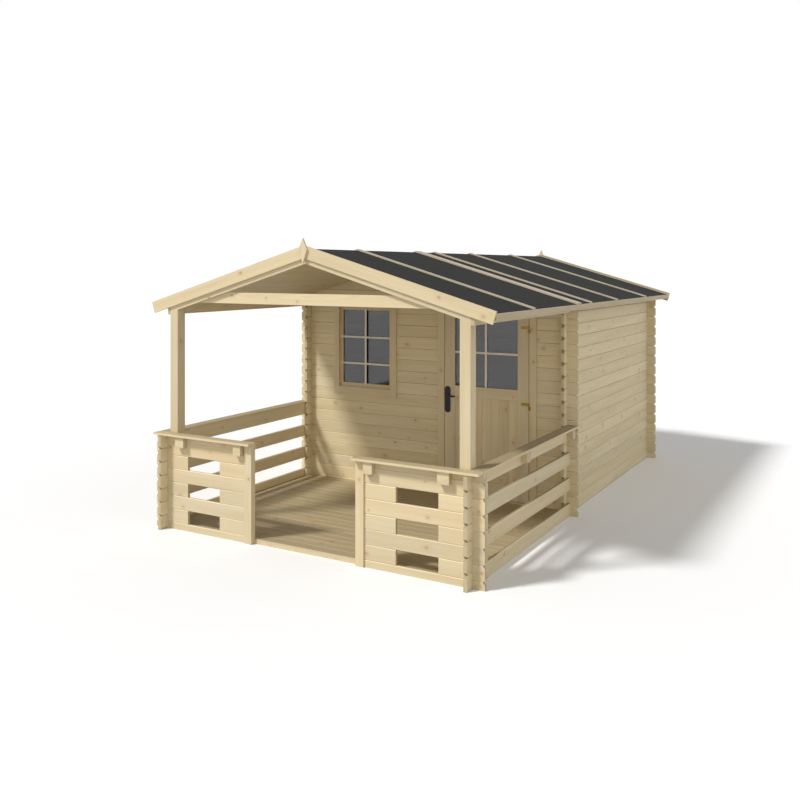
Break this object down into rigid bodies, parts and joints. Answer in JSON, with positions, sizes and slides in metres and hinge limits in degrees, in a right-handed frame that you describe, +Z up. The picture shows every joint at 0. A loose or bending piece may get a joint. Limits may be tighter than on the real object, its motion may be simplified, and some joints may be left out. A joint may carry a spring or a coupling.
{
  "type": "garden shed with terrace",
  "caption": "Log-built garden shed with a gabled felt roof that runs on over a railed terrace; a glazed door opens onto the terrace.",
  "frame": {"origin": "middle of the footprint's bounding box at ground level, under the middle bearer of the shed floor", "axes": "+Z up, +Y from the terrace to the back wall, +X to the right seen from the terrace side"},
  "size_m": [3.126, 5.979, 2.4752],
  "materials": {
    "log_pine": "planed, untreated",
    "planed_pine": "planed, untreated",
    "floor_pine": "planed, untreated",
    "felt": "bitumen felt, fine grit",
    "glass": "clear",
    "brass_hinges": "satin",
    "black_handle": "satin black"
  },
  "bodies": {
    "shed": {"back_fascia_left": "planed_pine", "back_fascia_right": "planed_pine", "back_wall": "log_pine", "cap_brackets": "planed_pine", "corner_post_left": "planed_pine", "corner_post_right": "planed_pine", "door_head": "planed_pine", "door_jamb_left": "planed_pine", "door_jamb_right": "planed_pine", "door_sill": "planed_pine", "eave_purlin_left": "log_pine", "eave_purlin_right": "log_pine", "eave_trim_left": "planed_pine", "eave_trim_right": "planed_pine", "entry_post_left": "planed_pine", "entry_post_right": "planed_pine", "finials": "planed_pine", "frame_hinges": "brass_hinges", "front_cap_left": "planed_pine", "front_cap_right": "planed_pine", "front_fascia_left": "planed_pine", "front_fascia_right": "planed_pine", "front_rafter_left": "log_pine", "front_rafter_right": "log_pine", "front_rail_left": "log_pine", "front_rail_right": "log_pine", "front_wall_left": "log_pine", "front_wall_over": "log_pine", "front_wall_right": "log_pine", "ridge_beam": "log_pine", "roof_battens": "planed_pine", "roof_boards_left": "log_pine", "roof_boards_right": "log_pine", "roof_felt": "felt", "shed_bearers": "floor_pine", "shed_floor": "floor_pine", "side_cap_left": "planed_pine", "side_cap_right": "planed_pine", "side_rail_left": "log_pine", "side_rail_right": "log_pine", "side_wall_left": "log_pine", "side_wall_right": "log_pine", "terrace_bearers": "floor_pine", "terrace_floor": "floor_pine", "tie_beam": "log_pine", "window_frame": "planed_pine", "window_glass": "glass"},
    "door": {"door_leaf": "planed_pine", "door_glass": "glass", "door_hinges": "brass_hinges", "door_plates": "black_handle"},
    "lever": {"door_lever": "black_handle"}
  },
  "joints": [
    {"name": "door_hinge", "type": "hinge", "parent": "shed", "child": "door", "pos_m": [1.0225, -0.5755, 0.959], "axis": [0, 0, 1], "range_deg": [0, 100]},
    {"name": "lever_pivot", "type": "hinge", "parent": "door", "child": "lever", "pos_m": [0.222, -0.5695, 1.005], "axis": [0, 1, 0], "range_deg": [0, 40]}
  ]
}
